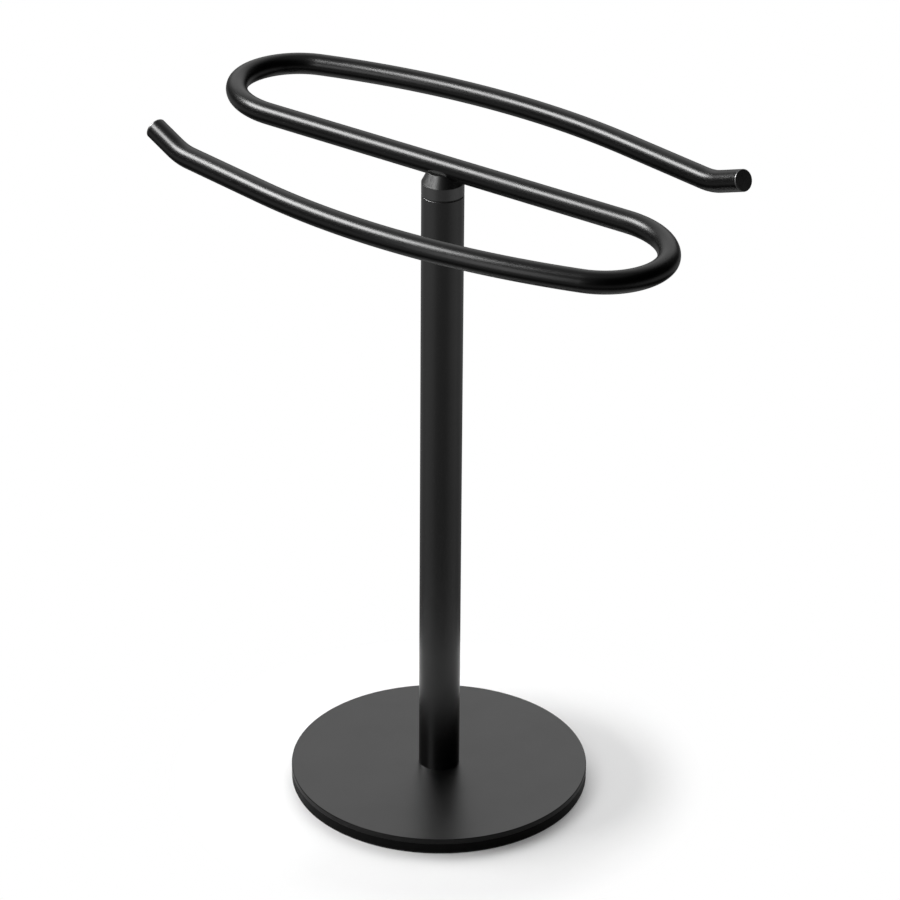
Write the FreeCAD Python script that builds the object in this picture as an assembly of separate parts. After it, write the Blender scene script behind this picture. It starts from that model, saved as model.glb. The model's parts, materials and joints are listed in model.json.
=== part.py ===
"""Freestanding towel stand: a weighted round base, a straight post and an S-shaped towel rail.

Millimetres, +Z up. The origin is on the floor, at the centre of the base and on the post's axis.
The rail's straight centre bar lies along X. Its near arm is on the -Y side and its far arm on the
+Y side. The rail, with the cap that it is seated in, turns about the post's axis.
"""
import FreeCAD, Part
import math
import os

os.makedirs("parts", exist_ok=True)

# ---- Base: two discs of one diameter on a thin pad ----
base_diameter = 182.0
plate_thickness = 3.4
plate_top_bevel = 0.5
weight_thickness = 5.8
disc_seam_bevel = 0.25
pad_thickness = 1.0
pad_inset = 0.5
fastener_well_diameter = 26.0

# ---- Screws that hold the weight to the plate ----
weight_screw_count = 3
weight_screw_circle_diameter = 120.0
weight_screw_diameter = 4.0
weight_screw_head_diameter = 8.0
weight_screw_thread_in_plate = 2.4
weight_screw_hex = 2.5
weight_screw_hex_depth = 1.3

# ---- Post and its foot ----
post_diameter = 25.0
post_wall = 1.5
post_length = 380.8
post_top_bevel = 0.3
foot_plug_length = 18.0
foot_bolt_diameter = 6.0
foot_bolt_length = 20.0
foot_bolt_head_diameter = 10.5
foot_bolt_head_height = 3.3
foot_bolt_rim_height = 1.1
foot_bolt_hex = 4.0
foot_bolt_hex_depth = 2.0
flat_washer_diameter = 18.0
flat_washer_thickness = 1.6
foot_spring_washer_diameter = 11.8
foot_spring_washer_thickness = 1.6

# ---- Swivel at the top of the post ----
housing_length = 16.0
bush_wall = 1.5
bush_flange_thickness = 0.6
bush_flange_inset = 0.4
spindle_diameter = 12.0
spindle_flange_diameter = 18.0
spindle_flange_thickness = 3.0
spindle_web_thickness = 7.0
spindle_tail = 1.5
thrust_washer_diameter = 18.0
thrust_washer_thickness = 0.8
disc_spring_thickness = 0.7
disc_spring_height = 1.1
circlip_thickness = 1.0
circlip_width = 2.0
circlip_groove_depth = 0.25
circlip_lug_diameter = 3.2
circlip_lug_hole_diameter = 1.4
circlip_gap = 3.0

# ---- Head cap: a short band and a cone that is cut flat and grooved for the rail ----
cap_band_height = 7.4
cap_cone_height = 6.8
cap_cone_top_diameter = 18.0
cap_bottom_bevel = 0.3
cap_shoulder_round = 0.35
rail_sink_below_axis = 2.7

# ---- Towel rail: one bent tube; the far arm is bent a little further round than the near arm ----
rail_diameter = 13.0
rail_wall = 1.2
bar_half_length = 128.3
shoulder_radius = 52.3
shoulder_angle = 60.4
loop_radius = 36.7
loop_angle = 101.9
arm_radius = 428.0
near_arm_angle = 28.8
far_arm_angle = 29.6
arm_straight = 64.0
end_bend_radius = 40.0
end_bend_angle = 20.0
end_straight = 17.7

# ---- End plugs ----
plug_lip_thickness = 1.2
plug_face_bevel = 0.6
plug_seam_bevel = 0.2
plug_depth = 8.0
plug_wall = 1.0

# ---- Screw that clamps the rail, the cap and the spindle together ----
rail_screw_diameter = 5.0
rail_screw_length = 25.0
rail_screw_head_diameter = 8.5
rail_screw_head_height = 5.0
rail_screw_hex = 4.0
rail_screw_hex_depth = 2.5
rail_lock_washer_diameter = 8.4
rail_lock_washer_thickness = 1.2
nut_block_length = 16.0

# ---- Clearances ----
press_clearance = 0.02
thread_clearance = 0.02
running_clearance = 0.05
seat_clearance = 0.05
bolt_hole_clearance = 0.2
washer_clearance = 0.1
spring_washer_slot = 1.2
screw_tip_clearance = 0.8
height_tolerance = 0.001

# ---- Heights, from the floor up ----
weight_bottom = pad_thickness
plate_bottom = weight_bottom + weight_thickness
post_bottom = plate_bottom + plate_thickness
post_top = post_bottom + post_length
cap_bottom = post_top + bush_flange_thickness
cap_shoulder = cap_bottom + cap_band_height
cap_top = cap_shoulder + cap_cone_height
rail_axis = cap_top + rail_sink_below_axis

# ---- Radii that several pieces share ----
base_radius = base_diameter / 2
post_radius = post_diameter / 2
post_bore_radius = post_radius - post_wall
rail_radius = rail_diameter / 2
rail_bore_radius = rail_radius - rail_wall
spindle_radius = spindle_diameter / 2
spindle_screw_bore_radius = rail_screw_head_diameter / 2 + washer_clearance
bush_bore_radius = spindle_radius + running_clearance
bush_radius = bush_bore_radius + bush_wall
rail_screw_hole_radius = rail_screw_diameter / 2 + bolt_hole_clearance
foot_bolt_hole_radius = foot_bolt_diameter / 2 + bolt_hole_clearance
weight_screw_circle_radius = weight_screw_circle_diameter / 2

UP = FreeCAD.Vector(0, 0, 1)
ORIGIN = FreeCAD.Vector(0, 0, 0)


def save(name, shape):
    """Write one node's STEP file."""
    shape.exportStep("parts/" + name + ".step")


def turned(profile):
    """A solid of revolution about Z from (radius, height) points."""
    points = [FreeCAD.Vector(radius, 0, height) for radius, height in profile]
    outline = Part.makePolygon(points + points[:1])
    return Part.Face(outline).revolve(ORIGIN, UP, 360)


def rod(radius, bottom, top):
    """An upright cylinder between two heights."""
    return Part.makeCylinder(radius, top - bottom, FreeCAD.Vector(0, 0, bottom))


def ring(outer_radius, inner_radius, bottom, top):
    """An upright tube between two heights."""
    return rod(outer_radius, bottom, top).cut(rod(inner_radius, bottom, top))


def hexagon(across_flats, bottom, top):
    """An upright hexagonal prism, for a key socket."""
    corner_radius = across_flats / math.sqrt(3)
    corners = []
    for corner in range(6):
        angle = math.radians(60 * corner)
        corner_x = corner_radius * math.cos(angle)
        corner_y = corner_radius * math.sin(angle)
        corners.append(FreeCAD.Vector(corner_x, corner_y, bottom))
    outline = Part.makePolygon(corners + corners[:1])
    return Part.Face(outline).extrude(FreeCAD.Vector(0, 0, top - bottom))


def split_ring(outer_radius, inner_radius, bottom, top):
    """A spring washer: a ring with one slot through its side."""
    slot = Part.makeBox(outer_radius, spring_washer_slot, top - bottom)
    slot.translate(FreeCAD.Vector(0, -spring_washer_slot / 2, bottom))
    return ring(outer_radius, inner_radius, bottom, top).cut(slot)


def edges_at(shape, height):
    """A shape's level edges at one height."""
    level = [edge for edge in shape.Edges if edge.BoundBox.ZLength < height_tolerance]
    return [edge for edge in level if abs(edge.BoundBox.ZMin - height) < height_tolerance]


def around(shape, count, circle_radius):
    """Copies of a shape, evenly spaced on a circle about Z."""
    copies = []
    for place in range(count):
        copy = shape.copy()
        copy.translate(FreeCAD.Vector(0, circle_radius, 0))
        copy.rotate(ORIGIN, UP, 360 * place / count)
        copies.append(copy)
    return copies


# ---------------------------------------------------------------- base
def base_pad():
    """A thin soft ring under the weight; its hole leaves the foot bolt within reach."""
    return ring(base_radius - pad_inset, fastener_well_diameter / 2, 0, pad_thickness)


def weight_screw():
    """A countersunk screw, head down, with its thread in the plate."""
    head = weight_screw_head_diameter / 2
    shank = weight_screw_diameter / 2
    cone = head - shank
    tip = plate_bottom + weight_screw_thread_in_plate
    body = turned([(0, weight_bottom), (head, weight_bottom), (shank, weight_bottom + cone),
                   (shank, tip), (0, tip)])
    return body.cut(hexagon(weight_screw_hex, weight_bottom, weight_bottom + weight_screw_hex_depth))


def weight_screw_cut():
    """What the screw needs out of the weight and the plate."""
    clearance = washer_clearance
    head = weight_screw_head_diameter / 2 + clearance
    shank = weight_screw_diameter / 2 + clearance
    cone = head - shank
    thread = weight_screw_diameter / 2 + thread_clearance
    tip = plate_bottom + weight_screw_thread_in_plate + clearance
    return turned([(0, weight_bottom), (head, weight_bottom), (shank, weight_bottom + cone),
                   (shank, plate_bottom), (thread, plate_bottom), (thread, tip), (0, tip)])


def base_weight():
    """The lower disc, with a well for the foot bolt and countersunk holes."""
    bevel = disc_seam_bevel
    disc = turned([(0, weight_bottom), (base_radius - bevel, weight_bottom),
                   (base_radius, weight_bottom + bevel), (base_radius, plate_bottom - bevel),
                   (base_radius - bevel, plate_bottom), (0, plate_bottom)])
    disc = disc.cut(rod(fastener_well_diameter / 2, weight_bottom, plate_bottom))
    return disc.cut(around(weight_screw_cut(), weight_screw_count, weight_screw_circle_radius))


def base_plate():
    """The upper disc, that carries the post."""
    seam = disc_seam_bevel
    bevel = plate_top_bevel
    disc = turned([(0, plate_bottom), (base_radius - seam, plate_bottom),
                   (base_radius, plate_bottom + seam), (base_radius, post_bottom - bevel),
                   (base_radius - bevel, post_bottom), (0, post_bottom)])
    disc = disc.cut(rod(foot_bolt_hole_radius, plate_bottom, post_bottom))
    return disc.cut(around(weight_screw_cut(), weight_screw_count, weight_screw_circle_radius))


# ---------------------------------------------------------------- post
def post_tube():
    """The straight tube, with a fine bevel at its top edge."""
    bevel = post_top_bevel
    return turned([(post_bore_radius, post_bottom), (post_radius, post_bottom),
                   (post_radius, post_top - bevel), (post_radius - bevel, post_top),
                   (post_bore_radius, post_top)])


foot_washer_bottom = plate_bottom - flat_washer_thickness
foot_spring_bottom = foot_washer_bottom - foot_spring_washer_thickness
foot_bolt_tip = foot_spring_bottom + foot_bolt_length


def foot_plug():
    """The plug pressed into the post's foot, with a blind thread for the foot bolt."""
    plug = rod(post_bore_radius - press_clearance, post_bottom, post_bottom + foot_plug_length)
    thread_radius = foot_bolt_diameter / 2 + thread_clearance
    return plug.cut(rod(thread_radius, post_bottom, foot_bolt_tip + screw_tip_clearance))


def foot_bolt():
    """A button-headed bolt from below, with a key socket."""
    head_bottom = foot_spring_bottom - foot_bolt_head_height
    head_radius = foot_bolt_head_diameter / 2
    rim = foot_bolt_rim_height
    crown_radius = head_radius - (foot_bolt_head_height - rim)
    head = turned([(0, head_bottom), (crown_radius, head_bottom), (head_radius, foot_spring_bottom - rim),
                   (head_radius, foot_spring_bottom), (0, foot_spring_bottom)])
    shank = rod(foot_bolt_diameter / 2, foot_spring_bottom, foot_bolt_tip)
    return head.fuse(shank).cut(hexagon(foot_bolt_hex, head_bottom, head_bottom + foot_bolt_hex_depth))


def foot_flat_washer():
    """The wide washer that spreads the bolt's load on the plate."""
    return ring(flat_washer_diameter / 2, foot_bolt_hole_radius, foot_washer_bottom, plate_bottom)


def foot_spring_washer():
    """The spring washer between the bolt's head and the flat washer."""
    bore = foot_bolt_diameter / 2 + washer_clearance
    return split_ring(foot_spring_washer_diameter / 2, bore, foot_spring_bottom, foot_washer_bottom)


# ---------------------------------------------------------------- swivel
housing_bottom = post_top - housing_length
thrust_washer_bottom = housing_bottom - thrust_washer_thickness
circlip_top = thrust_washer_bottom - disc_spring_height
circlip_bottom = circlip_top - circlip_thickness
spindle_bottom = circlip_bottom - spindle_tail
spindle_web_bottom = cap_bottom + spindle_flange_thickness - spindle_web_thickness
rail_screw_seat = spindle_web_bottom - rail_lock_washer_thickness
rail_screw_tip = rail_screw_seat + rail_screw_length


def swivel_housing():
    """The plug pressed into the post's top, bored for the bush."""
    outer = post_bore_radius - press_clearance
    inner = bush_radius + press_clearance
    return ring(outer, inner, housing_bottom, post_top)


def swivel_bush():
    """The flanged plastic bush: the spindle turns in it and the cap turns on its flange."""
    flange_radius = post_radius - bush_flange_inset
    return turned([(bush_bore_radius, housing_bottom), (bush_radius, housing_bottom),
                   (bush_radius, post_top), (flange_radius, post_top),
                   (flange_radius, cap_bottom), (bush_bore_radius, cap_bottom)])


def head_spindle():
    """The hollow shaft under the cap, with its flange, screw bore and circlip groove."""
    flange_radius = spindle_flange_diameter / 2
    flange_top = cap_bottom + spindle_flange_thickness
    groove_radius = spindle_radius - circlip_groove_depth
    return turned([(spindle_screw_bore_radius, spindle_bottom), (spindle_radius, spindle_bottom),
                   (spindle_radius, circlip_bottom), (groove_radius, circlip_bottom),
                   (groove_radius, circlip_top), (spindle_radius, circlip_top),
                   (spindle_radius, cap_bottom), (flange_radius, cap_bottom), (flange_radius, flange_top),
                   (rail_screw_hole_radius, flange_top), (rail_screw_hole_radius, spindle_web_bottom),
                   (spindle_screw_bore_radius, spindle_web_bottom)])


def spindle_thrust_washer():
    """The flat washer that runs on the housing's underside."""
    bore = spindle_radius + washer_clearance
    return ring(thrust_washer_diameter / 2, bore, thrust_washer_bottom, housing_bottom)


def spindle_disc_spring():
    """The coned spring washer that keeps a light drag on the swivel."""
    inner = spindle_radius + washer_clearance
    outer = thrust_washer_diameter / 2
    dish = disc_spring_height - disc_spring_thickness
    return turned([(inner, circlip_top), (inner, circlip_top + disc_spring_thickness),
                   (outer, thrust_washer_bottom), (outer, circlip_top + dish)])


def spindle_circlip():
    """The open ring in the spindle's groove, with two lugs for the pliers."""
    inner = spindle_radius - circlip_groove_depth
    outer = inner + circlip_width
    lug_radius = circlip_lug_diameter / 2
    lug_offset = circlip_gap / 2 + lug_radius
    clip = ring(outer, inner, circlip_bottom, circlip_top)
    gap = Part.makeBox(outer + lug_radius, circlip_gap, circlip_thickness)
    gap.translate(FreeCAD.Vector(0, -circlip_gap / 2, circlip_bottom))
    for side in (-1, 1):
        place = FreeCAD.Vector(math.sqrt(outer ** 2 - lug_offset ** 2), side * lug_offset, 0)
        lug = rod(lug_radius, circlip_bottom, circlip_top)
        lug.translate(place)
        hole = rod(circlip_lug_hole_diameter / 2, circlip_bottom, circlip_top)
        hole.translate(place)
        clip = clip.fuse(lug).cut(hole)
    return clip.cut(rod(inner, circlip_bottom, circlip_top)).cut(gap)


# ---------------------------------------------------------------- head cap and its screw
def head_cap():
    """The turned cap: recess for the spindle's flange, band, cone and the rail's groove."""
    bevel = cap_bottom_bevel
    cone_top_radius = cap_cone_top_diameter / 2
    recess_radius = spindle_flange_diameter / 2 + press_clearance
    recess_top = cap_bottom + spindle_flange_thickness
    body = turned([(recess_radius, cap_bottom), (post_radius - bevel, cap_bottom),
                   (post_radius, cap_bottom + bevel), (post_radius, cap_shoulder),
                   (cone_top_radius, cap_top), (rail_screw_hole_radius, cap_top),
                   (rail_screw_hole_radius, recess_top), (recess_radius, recess_top)])
    body = body.makeFillet(cap_shoulder_round, edges_at(body, cap_shoulder))
    groove = Part.makeCylinder(rail_radius + seat_clearance, post_diameter,
                               FreeCAD.Vector(-post_radius, 0, rail_axis), FreeCAD.Vector(1, 0, 0))
    return body.cut(groove)


def rail_screw():
    """The cap screw from inside the spindle up into the rail's nut block."""
    head_bottom = rail_screw_seat - rail_screw_head_height
    head = rod(rail_screw_head_diameter / 2, head_bottom, rail_screw_seat)
    shank = rod(rail_screw_diameter / 2, rail_screw_seat, rail_screw_tip)
    return head.fuse(shank).cut(hexagon(rail_screw_hex, head_bottom, head_bottom + rail_screw_hex_depth))


def rail_lock_washer():
    """The spring washer under the cap screw's head."""
    bore = rail_screw_diameter / 2 + washer_clearance
    return split_ring(rail_lock_washer_diameter / 2, bore, rail_screw_seat, spindle_web_bottom)


def rail_nut_block():
    """The round bar inside the rail that takes the cap screw's thread."""
    start = FreeCAD.Vector(-nut_block_length / 2, 0, rail_axis)
    block_radius = rail_bore_radius - running_clearance
    block = Part.makeCylinder(block_radius, nut_block_length, start, FreeCAD.Vector(1, 0, 0))
    thread_radius = rail_screw_diameter / 2 + thread_clearance
    return block.cut(rod(thread_radius, rail_axis - rail_radius, rail_screw_tip + running_clearance))


# ---------------------------------------------------------------- towel rail
def ring_face(position, direction):
    """The tube's section: a flat ring square to the tube."""
    disc = Part.Face(Part.Wire(Part.makeCircle(rail_radius, position, direction)))
    bore = Part.Face(Part.Wire(Part.makeCircle(rail_bore_radius, position, direction)))
    return disc.cut(bore).Faces[0]


def run(position, direction, length):
    """A straight length of tube, and where it ends."""
    solid = ring_face(position, direction).extrude(direction * length)
    return solid, position + direction * length, direction


def bend(position, direction, axis, radius, angle):
    """A bent length of tube that turns about an axis beside it, and where it ends."""
    centre = position + axis.cross(direction) * radius
    solid = ring_face(position, direction).revolve(centre, axis, angle)
    turn = FreeCAD.Rotation(axis, angle)
    return solid, centre + turn.multVec(position - centre), turn.multVec(direction)


def rail_half(arm_angle):
    """The tube from the bar's end round the near loop and along the arm to its raised end."""
    clockwise = UP * -1
    position = FreeCAD.Vector(bar_half_length, 0, rail_axis)
    direction = FreeCAD.Vector(1, 0, 0)
    solids = []
    bends = ((shoulder_radius, shoulder_angle), (loop_radius, loop_angle), (arm_radius, arm_angle))
    for radius, angle in bends:
        solid, position, direction = bend(position, direction, clockwise, radius, angle)
        solids.append(solid)
    solid, position, direction = run(position, direction, arm_straight)
    solids.append(solid)
    raise_axis = direction.cross(UP)
    solid, position, direction = bend(position, direction, raise_axis, end_bend_radius, end_bend_angle)
    solids.append(solid)
    solid, position, direction = run(position, direction, end_straight)
    solids.append(solid)
    return solids, position, direction


def half_turned(shape):
    """A copy on the other side of the post."""
    copy = shape.copy()
    copy.rotate(ORIGIN, UP, 180)
    return copy


def towel_rail(near_half, far_half):
    """The whole tube in one piece, with the hole for the cap screw in its underside."""
    start = FreeCAD.Vector(-bar_half_length, 0, rail_axis)
    bar = run(start, FreeCAD.Vector(1, 0, 0), 2 * bar_half_length)[0]
    tube = bar.multiFuse(near_half + far_half)
    return tube.cut(rod(rail_screw_hole_radius, rail_axis - rail_diameter, rail_axis)).removeSplitter()


def rail_end_plug(position, direction):
    """The cup-shaped plug in the tube's end, with a bevelled lip as wide as the tube."""
    lip = plug_lip_thickness
    seam = plug_seam_bevel
    face = plug_face_bevel
    stem = rail_bore_radius - running_clearance
    hollow = stem - plug_wall
    plug = turned([(0, 0), (hollow, 0), (hollow, -plug_depth), (stem, -plug_depth), (stem, 0),
                   (rail_radius - seam, 0), (rail_radius, seam), (rail_radius, lip - face),
                   (rail_radius - face, lip), (0, lip)])
    plug.Placement = FreeCAD.Placement(position, FreeCAD.Rotation(UP, direction))
    return plug


save("base_pad", base_pad())
save("base_weight", base_weight())
screws = around(weight_screw(), weight_screw_count, weight_screw_circle_radius)
save("weight_screws", Part.makeCompound(screws))
save("base_plate", base_plate())
save("foot_bolt", foot_bolt())
save("foot_spring_washer", foot_spring_washer())
save("foot_flat_washer", foot_flat_washer())
save("foot_plug", foot_plug())
save("post_tube", post_tube())
save("swivel_housing", swivel_housing())
save("swivel_bush", swivel_bush())
save("head_spindle", head_spindle())
save("spindle_thrust_washer", spindle_thrust_washer())
save("spindle_disc_spring", spindle_disc_spring())
save("spindle_circlip", spindle_circlip())
save("head_cap", head_cap())
save("rail_screw", rail_screw())
save("rail_lock_washer", rail_lock_washer())
save("rail_nut_block", rail_nut_block())

near_half, near_end, near_direction = rail_half(near_arm_angle)
far_half, far_end, far_direction = rail_half(far_arm_angle)
save("towel_rail", towel_rail(near_half, [half_turned(solid) for solid in far_half]))
save("rail_end_plug_near", rail_end_plug(near_end, near_direction))
save("rail_end_plug_far", half_turned(rail_end_plug(far_end, far_direction)))
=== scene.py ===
import json
import math

import bmesh
import bpy
from mathutils import Matrix, Quaternion, Vector

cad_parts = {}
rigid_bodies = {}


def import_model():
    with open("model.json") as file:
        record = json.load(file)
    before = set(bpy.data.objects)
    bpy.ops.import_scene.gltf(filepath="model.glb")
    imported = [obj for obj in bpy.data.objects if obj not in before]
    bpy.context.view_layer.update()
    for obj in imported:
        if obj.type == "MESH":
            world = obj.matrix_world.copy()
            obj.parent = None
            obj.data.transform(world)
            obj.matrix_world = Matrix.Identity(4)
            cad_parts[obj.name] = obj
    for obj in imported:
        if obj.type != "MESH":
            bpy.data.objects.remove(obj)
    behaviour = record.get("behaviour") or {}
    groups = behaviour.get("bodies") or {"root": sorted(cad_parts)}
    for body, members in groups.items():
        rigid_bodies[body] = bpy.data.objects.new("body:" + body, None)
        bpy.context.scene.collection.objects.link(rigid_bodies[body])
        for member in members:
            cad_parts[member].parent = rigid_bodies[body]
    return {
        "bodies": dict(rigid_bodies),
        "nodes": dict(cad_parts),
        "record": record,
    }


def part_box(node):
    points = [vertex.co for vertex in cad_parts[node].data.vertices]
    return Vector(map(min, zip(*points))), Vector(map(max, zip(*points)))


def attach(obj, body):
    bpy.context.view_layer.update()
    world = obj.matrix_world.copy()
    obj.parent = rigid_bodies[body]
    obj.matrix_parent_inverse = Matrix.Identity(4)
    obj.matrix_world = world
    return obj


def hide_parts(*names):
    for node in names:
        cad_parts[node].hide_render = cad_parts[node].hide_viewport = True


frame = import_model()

# ---- Sizes, in metres. The rail's tube and bends, the walls, the plugs, the two base holes and the
# ---- rounded edges are written here. The stand's other sizes and places come from the frame. ----
BAR_HALF_LENGTH = 0.1283
SHOULDER_RADIUS = 0.0523
SHOULDER_ANGLE = math.radians(60.4)
LOOP_RADIUS = 0.0367
LOOP_ANGLE = math.radians(101.9)
ARM_RADIUS = 0.428
NEAR_ARM_ANGLE = math.radians(28.8)
FAR_ARM_ANGLE = math.radians(29.6)
ARM_STRAIGHT = 0.064
END_BEND_RADIUS = 0.040
END_BEND_ANGLE = math.radians(20.0)
END_STRAIGHT = 0.0177
RAIL_RADIUS = 0.0065
RAIL_WALL = 0.0012
PLUG_LIP = 0.0012
PLUG_FACE_ROUND = 0.0006
PLUG_SEAM_ROUND = 0.0002
PLUG_STEM_GAP = 0.00005
PLUG_DEPTH = 0.008
PLUG_WALL = 0.001
POST_WALL = 0.0015
POST_TOP_ROUND = 0.0003
PLATE_TOP_ROUND = 0.0005
DISC_SEAM_ROUND = 0.00025
BOLT_HOLE_RADIUS = 0.0032
WELL_RADIUS = 0.013

# ---- Fineness of the new pieces ----
RAIL_SIDES = 64
POST_SIDES = 128
DISC_SIDES = 288
EDGE_SEGMENTS = 4
EDGE_PROFILE = 0.5
DEGREES_PER_RAIL_RING = 2.5
ARM_RINGS = 40
MERGE_DISTANCE = 1e-6
SHARP_ANGLE = math.radians(32)

UP = Vector((0, 0, 1))
CENTRE = Vector((0, 0, 0))

# ---- Clear what Blender starts with, so that only the frame is in the scene ----
frame_objects = set(frame["nodes"].values()) | set(frame["bodies"].values())
for leftover in [thing for thing in bpy.data.objects if thing not in frame_objects]:
    bpy.data.objects.remove(leftover)
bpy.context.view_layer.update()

# ---- Sockets of a Mix node that mixes two colours ----
MIX_FIRST = 6
MIX_SECOND = 7
MIX_RESULT = 2

# ---- Texture of the finishes: counts per metre, and how strongly each shows ----
POWDER_GRAIN_PER_METRE = 5200.0
POWDER_CLOUDS_PER_METRE = 45.0
GRAIN_HEIGHT = 0.25
GRAIN_FLECK = 0.03
PLASTIC_CLOUDS_PER_METRE = 160.0
PLATING_CLOUDS_PER_METRE = 260.0
PLATING_ROUGHNESS = (0.28, 0.42)
TOOL_MARK_WANDER = 1.5
NOISE_MIDDLE = 0.5
NOISE_RANGE = (0.3, 0.7)

# ---- Where a face counts as the plate's rim and where as its top, by how far it faces up ----
RIM_SLOPE = 0.9
TOP_SLOPE = 0.995


# ---------------------------------------------------------------- shader building blocks
def add_node(tree, kind, **settings):
    """A node of one kind with its plain settings, such as its operation."""
    node = tree.nodes.new(kind)
    for name, value in settings.items():
        setattr(node, name, value)
    return node


def new_group(name, inputs, outputs):
    """An empty node group with named sockets, and its two end nodes."""
    tree = bpy.data.node_groups.new(name, "ShaderNodeTree")
    for label, kind, value in inputs:
        socket = tree.interface.new_socket(label, in_out="INPUT", socket_type=kind)
        if value is not None:
            socket.default_value = value
    for label, kind in outputs:
        tree.interface.new_socket(label, in_out="OUTPUT", socket_type=kind)
    return tree, tree.nodes.new("NodeGroupInput"), tree.nodes.new("NodeGroupOutput")


def feed(tree, socket, value):
    """Gives an input either a plain number or what another node puts out."""
    if isinstance(value, bpy.types.NodeSocket):
        tree.links.new(value, socket)
    else:
        socket.default_value = value


def noise(tree, position, scale, detail, roughness=0.5):
    """Soft noise of a given count per metre."""
    node = add_node(tree, "ShaderNodeTexNoise")
    feed(tree, node.inputs["Vector"], position)
    feed(tree, node.inputs["Scale"], scale)
    feed(tree, node.inputs["Detail"], detail)
    feed(tree, node.inputs["Roughness"], roughness)
    return node.outputs["Fac"]


def maths(tree, operation, *values):
    """One operation on one or two sockets or numbers."""
    node = add_node(tree, "ShaderNodeMath", operation=operation)
    for socket, value in zip(node.inputs, values):
        feed(tree, socket, value)
    return node.outputs["Value"]


def chain(tree, operation, first, *others):
    """The same operation over several sockets, such as the largest or the product of all."""
    result = first
    for other in others:
        result = maths(tree, operation, result, other)
    return result


def ranged(tree, value, low, high, to_low, to_high, smooth=False):
    """A value moved from one range to another; the ends may be sockets."""
    node = add_node(tree, "ShaderNodeMapRange")
    if smooth:
        node.interpolation_type = "SMOOTHSTEP"
    feed(tree, node.inputs["Value"], value)
    feed(tree, node.inputs["From Min"], low)
    feed(tree, node.inputs["From Max"], high)
    feed(tree, node.inputs["To Min"], to_low)
    feed(tree, node.inputs["To Max"], to_high)
    return node.outputs["Result"]


def between(tree, share, dark, light):
    """A colour between two others."""
    mix = add_node(tree, "ShaderNodeMix", data_type="RGBA")
    tree.links.new(share, mix.inputs["Factor"])
    tree.links.new(dark, mix.inputs[MIX_FIRST])
    tree.links.new(light, mix.inputs[MIX_SECOND])
    return mix.outputs[MIX_RESULT]


def powder_coat_group():
    """The skin of sprayed and baked paint: orange peel, fine grain and slow changes of gloss."""
    tree, start, end = new_group(
        "powder_coat_skin",
        [("Position", "NodeSocketVector", None), ("Peel Per Metre", "NodeSocketFloat", 900.0),
         ("Low Roughness", "NodeSocketFloat", 0.3), ("High Roughness", "NodeSocketFloat", 0.4),
         ("Dark", "NodeSocketColor", (0.002, 0.002, 0.002, 1)),
         ("Light", "NodeSocketColor", (0.004, 0.004, 0.004, 1))],
        [("Color", "NodeSocketColor"), ("Roughness", "NodeSocketFloat"), ("Height", "NodeSocketFloat")])
    position = start.outputs["Position"]
    dark, light = start.outputs["Dark"], start.outputs["Light"]
    smoothest, roughest = start.outputs["Low Roughness"], start.outputs["High Roughness"]
    peel = noise(tree, position, start.outputs["Peel Per Metre"], detail=1.0)
    grain = noise(tree, position, POWDER_GRAIN_PER_METRE, detail=2.0)
    clouds = noise(tree, position, POWDER_CLOUDS_PER_METRE, detail=3.0, roughness=0.6)
    height = maths(tree, "ADD", peel, maths(tree, "MULTIPLY", grain, GRAIN_HEIGHT))
    tree.links.new(height, end.inputs["Height"])
    gloss = ranged(tree, clouds, *NOISE_RANGE, smoothest, roughest)
    fleck = maths(tree, "MULTIPLY", maths(tree, "SUBTRACT", grain, NOISE_MIDDLE), GRAIN_FLECK)
    tree.links.new(maths(tree, "ADD", gloss, fleck), end.inputs["Roughness"])
    tint = ranged(tree, grain, *NOISE_RANGE, 0.0, 1.0)
    tree.links.new(between(tree, tint, dark, light), end.inputs["Color"])
    return tree


def moulded_group():
    """Moulded plastic or sheet rubber: a fine even grain and a slightly uneven gloss."""
    tree, start, end = new_group(
        "moulded_skin",
        [("Position", "NodeSocketVector", None), ("Grains Per Metre", "NodeSocketFloat", 3000.0),
         ("Low Roughness", "NodeSocketFloat", 0.4), ("High Roughness", "NodeSocketFloat", 0.5),
         ("Dark", "NodeSocketColor", (0.01, 0.01, 0.01, 1)),
         ("Light", "NodeSocketColor", (0.02, 0.02, 0.02, 1))],
        [("Color", "NodeSocketColor"), ("Roughness", "NodeSocketFloat"), ("Height", "NodeSocketFloat")])
    position = start.outputs["Position"]
    dark, light = start.outputs["Dark"], start.outputs["Light"]
    smoothest, roughest = start.outputs["Low Roughness"], start.outputs["High Roughness"]
    cells = add_node(tree, "ShaderNodeTexVoronoi", feature="SMOOTH_F1")
    tree.links.new(position, cells.inputs["Vector"])
    tree.links.new(start.outputs["Grains Per Metre"], cells.inputs["Scale"])
    tree.links.new(cells.outputs["Distance"], end.inputs["Height"])
    clouds = noise(tree, position, PLASTIC_CLOUDS_PER_METRE, detail=3.0)
    gloss = ranged(tree, clouds, *NOISE_RANGE, smoothest, roughest)
    tree.links.new(gloss, end.inputs["Roughness"])
    tree.links.new(between(tree, cells.outputs["Distance"], dark, light), end.inputs["Color"])
    return tree


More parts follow.
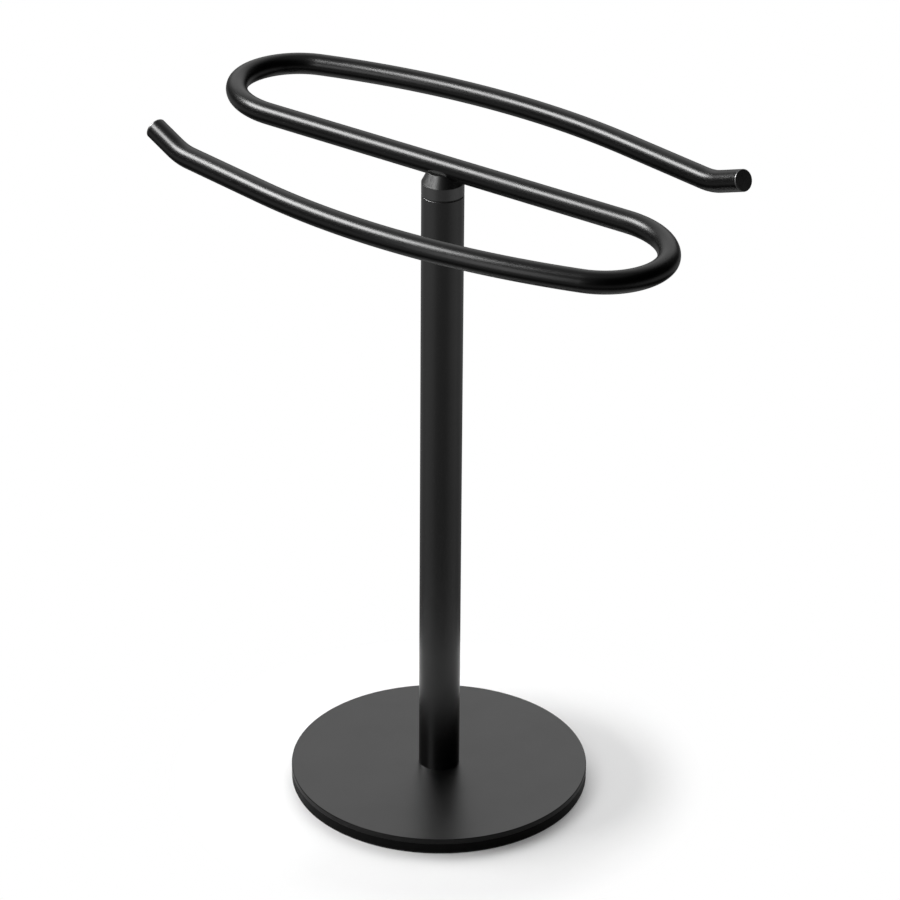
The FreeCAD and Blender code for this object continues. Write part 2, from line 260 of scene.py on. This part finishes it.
def turned_steel_group():
    """Turned and zinc plated steel: tool marks round the axis under a cloudy plating."""
    tree, start, end = new_group(
        "turned_steel_skin",
        [("Position", "NodeSocketVector", None), ("Marks Per Metre", "NodeSocketFloat", 900.0),
         ("Dark", "NodeSocketColor", (0.42, 0.42, 0.43, 1)),
         ("Light", "NodeSocketColor", (0.6, 0.6, 0.61, 1))],
        [("Color", "NodeSocketColor"), ("Roughness", "NodeSocketFloat"), ("Height", "NodeSocketFloat")])
    position = start.outputs["Position"]
    dark, light = start.outputs["Dark"], start.outputs["Light"]
    marks = add_node(tree, "ShaderNodeTexWave", wave_type="BANDS", bands_direction="Z")
    marks.inputs["Distortion"].default_value = TOOL_MARK_WANDER
    tree.links.new(position, marks.inputs["Vector"])
    tree.links.new(start.outputs["Marks Per Metre"], marks.inputs["Scale"])
    tree.links.new(marks.outputs["Fac"], end.inputs["Height"])
    clouds = noise(tree, position, PLATING_CLOUDS_PER_METRE, detail=4.0)
    tree.links.new(ranged(tree, clouds, *NOISE_RANGE, *PLATING_ROUGHNESS), end.inputs["Roughness"])
    tree.links.new(between(tree, clouds, dark, light), end.inputs["Color"])
    return tree


def finish_from(name, group, values, relief, metallic=0.0, shine=0.5):
    """A material whose colour, roughness and relief (in metres) come from one of the skins above."""
    material = bpy.data.materials.new(name)
    material.use_nodes = True
    tree = material.node_tree
    shader = tree.nodes["Principled BSDF"]
    shader.inputs["Metallic"].default_value = metallic
    shader.inputs["Specular IOR Level"].default_value = shine
    coordinate = add_node(tree, "ShaderNodeTexCoord")
    skin = add_node(tree, "ShaderNodeGroup", node_tree=group)
    tree.links.new(coordinate.outputs["Object"], skin.inputs["Position"])
    for label, value in values.items():
        skin.inputs[label].default_value = value
    tree.links.new(skin.outputs["Color"], shader.inputs["Base Color"])
    tree.links.new(skin.outputs["Roughness"], shader.inputs["Roughness"])
    bump = add_node(tree, "ShaderNodeBump")
    bump.inputs["Distance"].default_value = relief
    tree.links.new(skin.outputs["Height"], bump.inputs["Height"])
    tree.links.new(bump.outputs["Normal"], shader.inputs["Normal"])
    return material


def dull_rim(material, rim_shine, rim_roughness):
    """Makes the upright rim duller than the flat top, because the spray reaches it at a slant."""
    tree = material.node_tree
    shader = tree.nodes["Principled BSDF"]
    coordinate = add_node(tree, "ShaderNodeTexCoord")
    split = add_node(tree, "ShaderNodeSeparateXYZ")
    tree.links.new(coordinate.outputs["Normal"], split.inputs["Vector"])
    top = ranged(tree, split.outputs["Z"], RIM_SLOPE, TOP_SLOPE, 0.0, 1.0, smooth=True)
    top_roughness = shader.inputs["Roughness"].links[0].from_socket
    top_shine = shader.inputs["Specular IOR Level"].default_value
    roughness = ranged(tree, top, 0.0, 1.0, rim_roughness, top_roughness)
    shine = ranged(tree, top, 0.0, 1.0, rim_shine, top_shine)
    tree.links.new(roughness, shader.inputs["Roughness"])
    tree.links.new(shine, shader.inputs["Specular IOR Level"])


def grey(level):
    """A colour without a hue."""
    return (level, level, level, 1.0)


# ---------------------------------------------------------------- finishes
powder_coat = powder_coat_group()
moulded = moulded_group()
turned_steel = turned_steel_group()

post_powder = finish_from(
    "post_powder", powder_coat,
    {"Peel Per Metre": 900.0, "Low Roughness": 0.3, "High Roughness": 0.34,
     "Dark": grey(0.001), "Light": grey(0.0018)}, relief=6e-7)
rail_powder = finish_from(
    "rail_powder", powder_coat,
    {"Peel Per Metre": 900.0, "Low Roughness": 0.29, "High Roughness": 0.33,
     "Dark": grey(0.0006), "Light": grey(0.0012)}, relief=2e-7, shine=0.18)
cap_satin = finish_from(
    "cap_satin", powder_coat,
    {"Peel Per Metre": 1300.0, "Low Roughness": 0.31, "High Roughness": 0.35,
     "Dark": grey(0.0014), "Light": grey(0.0022)}, relief=4e-7, shine=0.85)
plate_powder = finish_from(
    "plate_powder", powder_coat,
    {"Peel Per Metre": 750.0, "Low Roughness": 0.31, "High Roughness": 0.35,
     "Dark": grey(0.0024), "Light": grey(0.0038)}, relief=8e-7)
dull_rim(plate_powder, rim_shine=0.15, rim_roughness=0.5)
weight_paint = finish_from(
    "weight_paint", powder_coat,
    {"Peel Per Metre": 600.0, "Low Roughness": 0.5, "High Roughness": 0.58,
     "Dark": grey(0.0006), "Light": grey(0.0012)}, relief=3e-6, shine=0.05)
plug_plastic = finish_from(
    "plug_plastic", moulded,
    {"Grains Per Metre": 2600.0, "Low Roughness": 0.36, "High Roughness": 0.42,
     "Dark": grey(0.004), "Light": grey(0.007)}, relief=3e-6, shine=0.8)
bush_nylon = finish_from(
    "bush_nylon", moulded,
    {"Grains Per Metre": 1800.0, "Low Roughness": 0.48, "High Roughness": 0.56,
     "Dark": grey(0.004), "Light": grey(0.008)}, relief=4e-6)
pad_rubber = finish_from(
    "pad_rubber", moulded,
    {"Grains Per Metre": 1400.0, "Low Roughness": 0.75, "High Roughness": 0.88,
     "Dark": grey(0.006), "Light": grey(0.014)}, relief=4e-5)
plated_steel = finish_from(
    "plated_steel", turned_steel, {"Marks Per Metre": 700.0}, relief=4e-6, metallic=1.0)

FINISHES = {
    "tube_black_powder": rail_powder,
    "cap_black_satin": cap_satin,
    "plate_black_powder": plate_powder,
    "weight_black_paint": weight_paint,
    "plug_black_plastic": plug_plastic,
    "bush_nylon": bush_nylon,
    "pad_foam_rubber": pad_rubber,
    "plain_steel": plated_steel,
}


def dress(piece, finish):
    """Gives a piece one finish all over."""
    piece.data.materials.clear()
    piece.data.materials.append(finish)


for part in frame["record"]["subparts"]:
    dress(frame["nodes"][part["node"]], FINISHES[part["material_slot"]])


# ---------------------------------------------------------------- mesh building blocks
def stand_for(node, body, slot, mesh, finish=None):
    """Makes a bmesh the visible piece for a CAD node, in its slot's finish or one of its own."""
    data = bpy.data.meshes.new("visible_" + node)
    mesh.to_mesh(data)
    mesh.free()
    for face in data.polygons:
        face.use_smooth = True
    data.set_sharp_from_angle(angle=SHARP_ANGLE)
    piece = bpy.data.objects.new("visible_" + node, data)
    bpy.context.scene.collection.objects.link(piece)
    even = piece.modifiers.new("even_shading", "WEIGHTED_NORMAL")
    even.keep_sharp = True
    dress(piece, finish or FINISHES[slot])
    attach(piece, body)
    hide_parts(node)
    return piece


def turned(outline, sides):
    """A shape of revolution about Z from (radius, height, edge round) points."""
    mesh = bmesh.new()
    corners = [mesh.verts.new((radius, 0.0, height)) for radius, height, _ in outline]
    for start, end in zip(corners, corners[1:]):
        mesh.edges.new((start, end))
    first_radius = outline[0][0]
    if first_radius > 0:
        mesh.edges.new((corners[-1], corners[0]))
    for corner, (_, _, edge_round) in zip(corners, outline):
        if edge_round > 0:
            bmesh.ops.bevel(mesh, geom=[corner], offset=edge_round, offset_type="OFFSET",
                            affect="VERTICES", segments=EDGE_SEGMENTS, profile=EDGE_PROFILE, material=-1)
    bmesh.ops.spin(mesh, geom=mesh.verts[:] + mesh.edges[:], cent=CENTRE, axis=UP,
                   angle=math.tau, steps=sides, use_merge=True)
    bmesh.ops.remove_doubles(mesh, verts=mesh.verts[:], dist=MERGE_DISTANCE)
    bmesh.ops.recalc_face_normals(mesh, faces=mesh.faces[:])
    return mesh


# ---------------------------------------------------------------- base and post
def base_weight():
    """The lower disc: a heavy ring round the well for the foot bolt."""
    low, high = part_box("base_weight")
    rim = high.x
    return turned([(WELL_RADIUS, low.z, 0), (rim, low.z, DISC_SEAM_ROUND), (rim, high.z, DISC_SEAM_ROUND),
                   (WELL_RADIUS, high.z, 0)], DISC_SIDES)


def base_plate():
    """The upper disc, rounded at its top edge and a little at the seam."""
    low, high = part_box("base_plate")
    rim = high.x
    return turned([(BOLT_HOLE_RADIUS, low.z, 0), (rim, low.z, DISC_SEAM_ROUND),
                   (rim, high.z, PLATE_TOP_ROUND), (BOLT_HOLE_RADIUS, high.z, 0)], DISC_SIDES)


def post_tube():
    """The straight post, with its wall."""
    low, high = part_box("post_tube")
    outer = high.x
    inner = outer - POST_WALL
    return turned([(inner, low.z, 0), (outer, low.z, 0), (outer, high.z, POST_TOP_ROUND),
                   (inner, high.z, 0)], POST_SIDES)


# ---------------------------------------------------------------- towel rail
def ends_of(geometry):
    """The ring of points and edges that an extrusion or a spin stopped at."""
    points = [thing for thing in geometry if isinstance(thing, bmesh.types.BMVert)]
    edges = [thing for thing in geometry if isinstance(thing, bmesh.types.BMEdge)]
    return points, edges


def run_on(mesh, end, length):
    """Lengthens the tube straight on."""
    (_, edges), position, direction = end
    grown = bmesh.ops.extrude_edge_only(mesh, edges=edges)["geom"]
    points, edges = ends_of(grown)
    bmesh.ops.translate(mesh, vec=direction * length, verts=points)
    edges = [edge for edge in edges if all(point in points for point in edge.verts)]
    return (points, edges), position + direction * length, direction


def bend_on(mesh, end, axis, radius, angle, rings):
    """Bends the tube on round an axis beside it."""
    (points, edges), position, direction = end
    centre = position + axis.cross(direction) * radius
    swept = bmesh.ops.spin(mesh, geom=points + edges, cent=centre, axis=axis, angle=angle, steps=rings)
    turn = Matrix.Rotation(angle, 3, axis)
    return ends_of(swept["geom_last"]), centre + turn @ (position - centre), turn @ direction


def rings_for(angle):
    """How many rings a bend is made of."""
    return math.ceil(math.degrees(angle) / DEGREES_PER_RAIL_RING)


def rail_half(mesh, arm_angle):
    """Half of the rail, from the middle of the bar out; gives the place and direction of its end."""
    low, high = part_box("rail_nut_block")
    position = Vector((0.0, 0.0, (low.z + high.z) / 2))
    direction = Vector((1, 0, 0))
    place = Matrix.Translation(position) @ direction.to_track_quat("Z", "Y").to_matrix().to_4x4()
    ring = bmesh.ops.create_circle(mesh, segments=RAIL_SIDES, radius=RAIL_RADIUS, matrix=place)
    points = ring["verts"]
    edges = list({edge for point in points for edge in point.link_edges})
    end = run_on(mesh, ((points, edges), position, direction), BAR_HALF_LENGTH)
    end = bend_on(mesh, end, -UP, SHOULDER_RADIUS, SHOULDER_ANGLE, rings_for(SHOULDER_ANGLE))
    end = bend_on(mesh, end, -UP, LOOP_RADIUS, LOOP_ANGLE, rings_for(LOOP_ANGLE))
    end = bend_on(mesh, end, -UP, ARM_RADIUS, arm_angle, ARM_RINGS)
    end = run_on(mesh, end, ARM_STRAIGHT)
    _, _, arm_direction = end
    sideways = arm_direction.cross(UP)
    end = bend_on(mesh, end, sideways, END_BEND_RADIUS, END_BEND_ANGLE, rings_for(END_BEND_ANGLE))
    _, position, direction = run_on(mesh, end, END_STRAIGHT)
    return position, direction


def towel_rail():
    """The whole bent tube with its wall, and the places of its near and far ends."""
    mesh = bmesh.new()
    far_place = rail_half(mesh, FAR_ARM_ANGLE)
    half_turn = Matrix.Rotation(math.pi, 3, UP)
    bmesh.ops.rotate(mesh, cent=CENTRE, matrix=half_turn, verts=mesh.verts[:])
    far_place = [half_turn @ vector for vector in far_place]
    near_place = rail_half(mesh, NEAR_ARM_ANGLE)
    bmesh.ops.remove_doubles(mesh, verts=mesh.verts[:], dist=MERGE_DISTANCE)
    bmesh.ops.recalc_face_normals(mesh, faces=mesh.faces[:])
    bmesh.ops.solidify(mesh, geom=mesh.faces[:], thickness=RAIL_WALL)
    return mesh, near_place, far_place


def end_plug(place):
    """The plug in one open end: its stem in the bore and a rounded lip as wide as the tube."""
    position, direction = place
    stem = RAIL_RADIUS - RAIL_WALL - PLUG_STEM_GAP
    hollow = stem - PLUG_WALL
    mesh = turned([(0, 0, 0), (hollow, 0, 0), (hollow, -PLUG_DEPTH, 0), (stem, -PLUG_DEPTH, 0),
                   (stem, 0, 0), (RAIL_RADIUS, 0, PLUG_SEAM_ROUND), (RAIL_RADIUS, PLUG_LIP, PLUG_FACE_ROUND),
                   (0, PLUG_LIP, 0)], RAIL_SIDES)
    turn = UP.rotation_difference(direction).to_matrix().to_4x4()
    bmesh.ops.transform(mesh, matrix=Matrix.Translation(position) @ turn, verts=mesh.verts[:])
    return mesh


stand_for("base_weight", "stand", "weight_black_paint", base_weight())
plate = stand_for("base_plate", "stand", "plate_black_powder", base_plate())
stand_for("post_tube", "stand", "tube_black_powder", post_tube(), finish=post_powder)
rail_mesh, near_end, far_end = towel_rail()
stand_for("towel_rail", "head", "tube_black_powder", rail_mesh)
stand_for("rail_end_plug_near", "head", "plug_black_plastic", end_plug(near_end))
stand_for("rail_end_plug_far", "head", "plug_black_plastic", end_plug(far_end))

# ---------------------------------------------------------------- camera, as for the photograph
PHOTO_SIDE_PX = 900
FOCAL_LENGTH_PX = 3968
SENSOR_WIDTH_MM = 36.0
CAMERA_ELEVATION = math.radians(27.24)
CAMERA_ROLL = math.radians(0.45)
CAMERA_AZIMUTH = math.radians(36.56)
CAMERA_DISTANCE = 2.357
CAMERA_SIGHT = 20.0
AIM_RIGHT_OF_POST = 0.0053
AIM_HEIGHT = 0.2257


def from_camera_side(azimuth, elevation, distance):
    """A point round the stand: azimuth 0 is towards the camera, positive to the camera's right."""
    turn = Matrix.Rotation(CAMERA_AZIMUTH, 3, "Z")
    flat = distance * math.cos(elevation)
    point = Vector((flat * math.sin(azimuth), -flat * math.cos(azimuth), distance * math.sin(elevation)))
    return turn @ point


def add_camera():
    """The camera, placed by where it aims, how steeply it looks down and how far off it stands."""
    turn = Matrix.Rotation(CAMERA_AZIMUTH, 3, "Z")
    aim = turn @ Vector((AIM_RIGHT_OF_POST, 0.0, AIM_HEIGHT))
    forward = turn @ Vector((0.0, math.cos(CAMERA_ELEVATION), -math.sin(CAMERA_ELEVATION)))
    level_right = turn @ Vector((1.0, 0.0, 0.0))
    level_up = level_right.cross(forward)
    right = level_right * math.cos(CAMERA_ROLL) + level_up * math.sin(CAMERA_ROLL)
    up = level_up * math.cos(CAMERA_ROLL) - level_right * math.sin(CAMERA_ROLL)
    data = bpy.data.cameras.new("camera")
    data.sensor_width = SENSOR_WIDTH_MM
    data.lens = SENSOR_WIDTH_MM * FOCAL_LENGTH_PX / PHOTO_SIDE_PX
    data.clip_end = CAMERA_SIGHT
    camera = bpy.data.objects.new("camera", data)
    bpy.context.scene.collection.objects.link(camera)
    turned_camera = Matrix((right, up, -forward)).transposed().to_4x4()
    turned_camera.translation = aim - forward * CAMERA_DISTANCE
    camera.matrix_world = turned_camera
    bpy.context.scene.camera = camera


add_camera()

# ---------------------------------------------------------------- floor
FLOOR_RADIUS = 0.17
FLOOR_HEIGHT = -0.0001
FLOOR_COLOR = 0.92
FLOOR_ROUGHNESS = 0.9
FLOOR_LIFT = 0.14
FADE_START = 0.13
FADE_END = 0.167


def background_rays(tree):
    """The light path, and 1 for the rays that meet the background mirrored or through glass."""
    path = add_node(tree, "ShaderNodeLightPath")
    mirrored = maths(tree, "MAXIMUM", path.outputs["Is Glossy Ray"], path.outputs["Is Transmission Ray"])
    return path, mirrored


def floor_finish():
    """A pale floor that keeps the stand's shadow and fades into the white background round it."""
    material = bpy.data.materials.new("floor_white")
    material.use_nodes = True
    tree = material.node_tree
    shader = tree.nodes["Principled BSDF"]
    shader.inputs["Base Color"].default_value = grey(FLOOR_COLOR)
    shader.inputs["Roughness"].default_value = FLOOR_ROUGHNESS
    shader.inputs["Specular IOR Level"].default_value = 0.0
    coordinate = add_node(tree, "ShaderNodeTexCoord")
    reach = add_node(tree, "ShaderNodeVectorMath", operation="LENGTH")
    tree.links.new(coordinate.outputs["Object"], reach.inputs[0])
    fade = ranged(tree, reach.outputs["Value"], FADE_START, FADE_END, FLOOR_LIFT, 1.0, smooth=True)
    path, mirrored = background_rays(tree)
    seen = maths(tree, "MAXIMUM", path.outputs["Is Camera Ray"], mirrored)
    white = add_node(tree, "ShaderNodeEmission")
    blend = add_node(tree, "ShaderNodeMixShader")
    share, painted, lit = blend.inputs
    tree.links.new(maths(tree, "MULTIPLY", seen, fade), share)
    tree.links.new(shader.outputs["BSDF"], painted)
    tree.links.new(white.outputs["Emission"], lit)
    tree.links.new(blend.outputs["Shader"], tree.nodes["Material Output"].inputs["Surface"])
    return material


def add_floor():
    """A round piece of floor under the stand, large enough for its shadow."""
    mesh = bmesh.new()
    bmesh.ops.create_circle(mesh, cap_ends=True, segments=DISC_SIDES, radius=FLOOR_RADIUS,
                            matrix=Matrix.Translation((0, 0, FLOOR_HEIGHT)))
    data = bpy.data.meshes.new("floor")
    mesh.to_mesh(data)
    mesh.free()
    floor = bpy.data.objects.new("floor", data)
    bpy.context.scene.collection.objects.link(floor)
    data.materials.append(floor_finish())


add_floor()

# ---------------------------------------------------------------- lamps
RAIL_AIM = Vector((0.0, 0.0, 0.408))
FLOOR_AIM = Vector((0.0, 0.0, 0.0))


def softbox(name, aim, azimuth, elevation, distance, width, height, radiance, mirrored, roll=0):
    """A rectangular lamp turned to its aim, with angles in degrees; radiance is its face's brightness.

    It is either mirrored in the gloss or lights the surfaces, so that each can be set by itself.
    """
    data = bpy.data.lights.new(name, "AREA")
    data.shape = "RECTANGLE"
    data.size = width
    data.size_y = height
    data.energy = radiance * math.pi * width * height
    lamp = bpy.data.objects.new(name, data)
    bpy.context.scene.collection.objects.link(lamp)
    lamp.location = aim + from_camera_side(math.radians(azimuth), math.radians(elevation), distance)
    facing = (aim - lamp.location).to_track_quat("-Z", "Y")
    lamp.rotation_euler = (facing @ Quaternion((0, 0, 1), math.radians(roll))).to_euler()
    lamp.visible_glossy = mirrored
    lamp.visible_diffuse = not mirrored
    lamp.visible_camera = False
    return lamp


def flag_off(lamp, pieces):
    """Keeps one lamp off some pieces, as a black card between them does in a studio."""
    flagged = bpy.data.collections.new(lamp.name + "_flagged")
    lamp.light_linking.receiver_collection = flagged
    for piece in pieces:
        flagged.objects.link(piece)
    for entry in flagged.collection_objects:
        entry.light_linking.link_state = "EXCLUDE"


left_strip = softbox("left_strip", RAIL_AIM, azimuth=-94, elevation=41.5, distance=2.2,
                     width=1.62, height=0.8, radiance=50.0, mirrored=True, roll=26.5)
flag_off(left_strip, [plate])
softbox("front_left_card", RAIL_AIM, azimuth=-47, elevation=12, distance=4.0,
        width=1.7, height=2.2, radiance=6.0, mirrored=True)
softbox("left_fill", FLOOR_AIM, azimuth=-90, elevation=45, distance=2.0,
        width=2.0, height=0.63, radiance=2.2, mirrored=False)
softbox("low_left", FLOOR_AIM, azimuth=-92, elevation=12, distance=2.0,
        width=1.9, height=0.42, radiance=31.0, mirrored=False)
softbox("behind", FLOOR_AIM, azimuth=180, elevation=46, distance=2.2,
        width=2.6, height=1.5, radiance=3.6, mirrored=False)

# ---------------------------------------------------------------- studio round the stand
# Directions are unit vectors turned so that Y points away from the camera and X to its right.
# Each range below holds two values of one axis and the brightness or share at each of them.
BACKDROP_BY_DEPTH = (0.05, 0.78, 0.0, 1.3)
BACKDROP_BY_SIDE = (0.35, 0.65, 1.0, 0.1)
BACKDROP_BY_HEIGHT = (-0.05, 0.38, 0.14, 1.0)
CEILING_BY_HEIGHT = (0.85, 0.98, 0.0, 0.5)
FLOOR_BY_SIDE = (0.35, 0.8, 0.5, 0.82)
FLOOR_FAR_EDGE = (-0.25, 0.0, 1.0, 0.0)
FLOOR_NEAR_EDGE = (-0.58, -0.42, 0.0, 1.0)
FLOOR_BY_DEPTH = (-0.15, 0.35, 1.0, 0.5)
FLOOR_BELOW_RAIL = (-0.93, -0.74, 1.0, 0.0)
DIFFUSE_FILL = 0.12


def add_studio():
    """A world that the camera sees as plain white, and that the gloss mirrors as a dark room.

    The room has a white backdrop behind the stand, a dim ceiling and a pale floor.
    """
    world = bpy.data.worlds.new("studio")
    bpy.context.scene.world = world
    world.use_nodes = True
    tree = world.node_tree
    background = tree.nodes["Background"]
    background.inputs["Strength"].default_value = 1.0
    coordinate = add_node(tree, "ShaderNodeTexCoord")
    turn = add_node(tree, "ShaderNodeVectorRotate", rotation_type="Z_AXIS")
    turn.inputs["Angle"].default_value = -CAMERA_AZIMUTH
    tree.links.new(coordinate.outputs["Generated"], turn.inputs["Vector"])
    split = add_node(tree, "ShaderNodeSeparateXYZ")
    tree.links.new(turn.outputs["Vector"], split.inputs["Vector"])
    depth, height = split.outputs["Y"], split.outputs["Z"]
    sideways = maths(tree, "ABSOLUTE", split.outputs["X"])
    backdrop = chain(tree, "MULTIPLY",
                     ranged(tree, depth, *BACKDROP_BY_DEPTH, smooth=True),
                     ranged(tree, height, *BACKDROP_BY_HEIGHT, smooth=True),
                     ranged(tree, sideways, *BACKDROP_BY_SIDE, smooth=True))
    ceiling = ranged(tree, height, *CEILING_BY_HEIGHT, smooth=True)
    floor_around = chain(tree, "MULTIPLY",
                         ranged(tree, sideways, *FLOOR_BY_SIDE, smooth=True),
                         ranged(tree, height, *FLOOR_FAR_EDGE, smooth=True),
                         ranged(tree, height, *FLOOR_NEAR_EDGE, smooth=True),
                         ranged(tree, depth, *FLOOR_BY_DEPTH, smooth=True))
    floor_below = ranged(tree, height, *FLOOR_BELOW_RAIL, smooth=True)
    room = chain(tree, "MAXIMUM", backdrop, ceiling, floor_around, floor_below)
    path, mirrored = background_rays(tree)
    reflection = maths(tree, "MULTIPLY", mirrored, room)
    fill = maths(tree, "MULTIPLY", path.outputs["Is Diffuse Ray"], DIFFUSE_FILL)
    shown = chain(tree, "MAXIMUM", path.outputs["Is Camera Ray"], reflection, fill)
    tree.links.new(shown, background.inputs["Color"])


add_studio()
bpy.context.scene.view_settings.view_transform = "Standard"
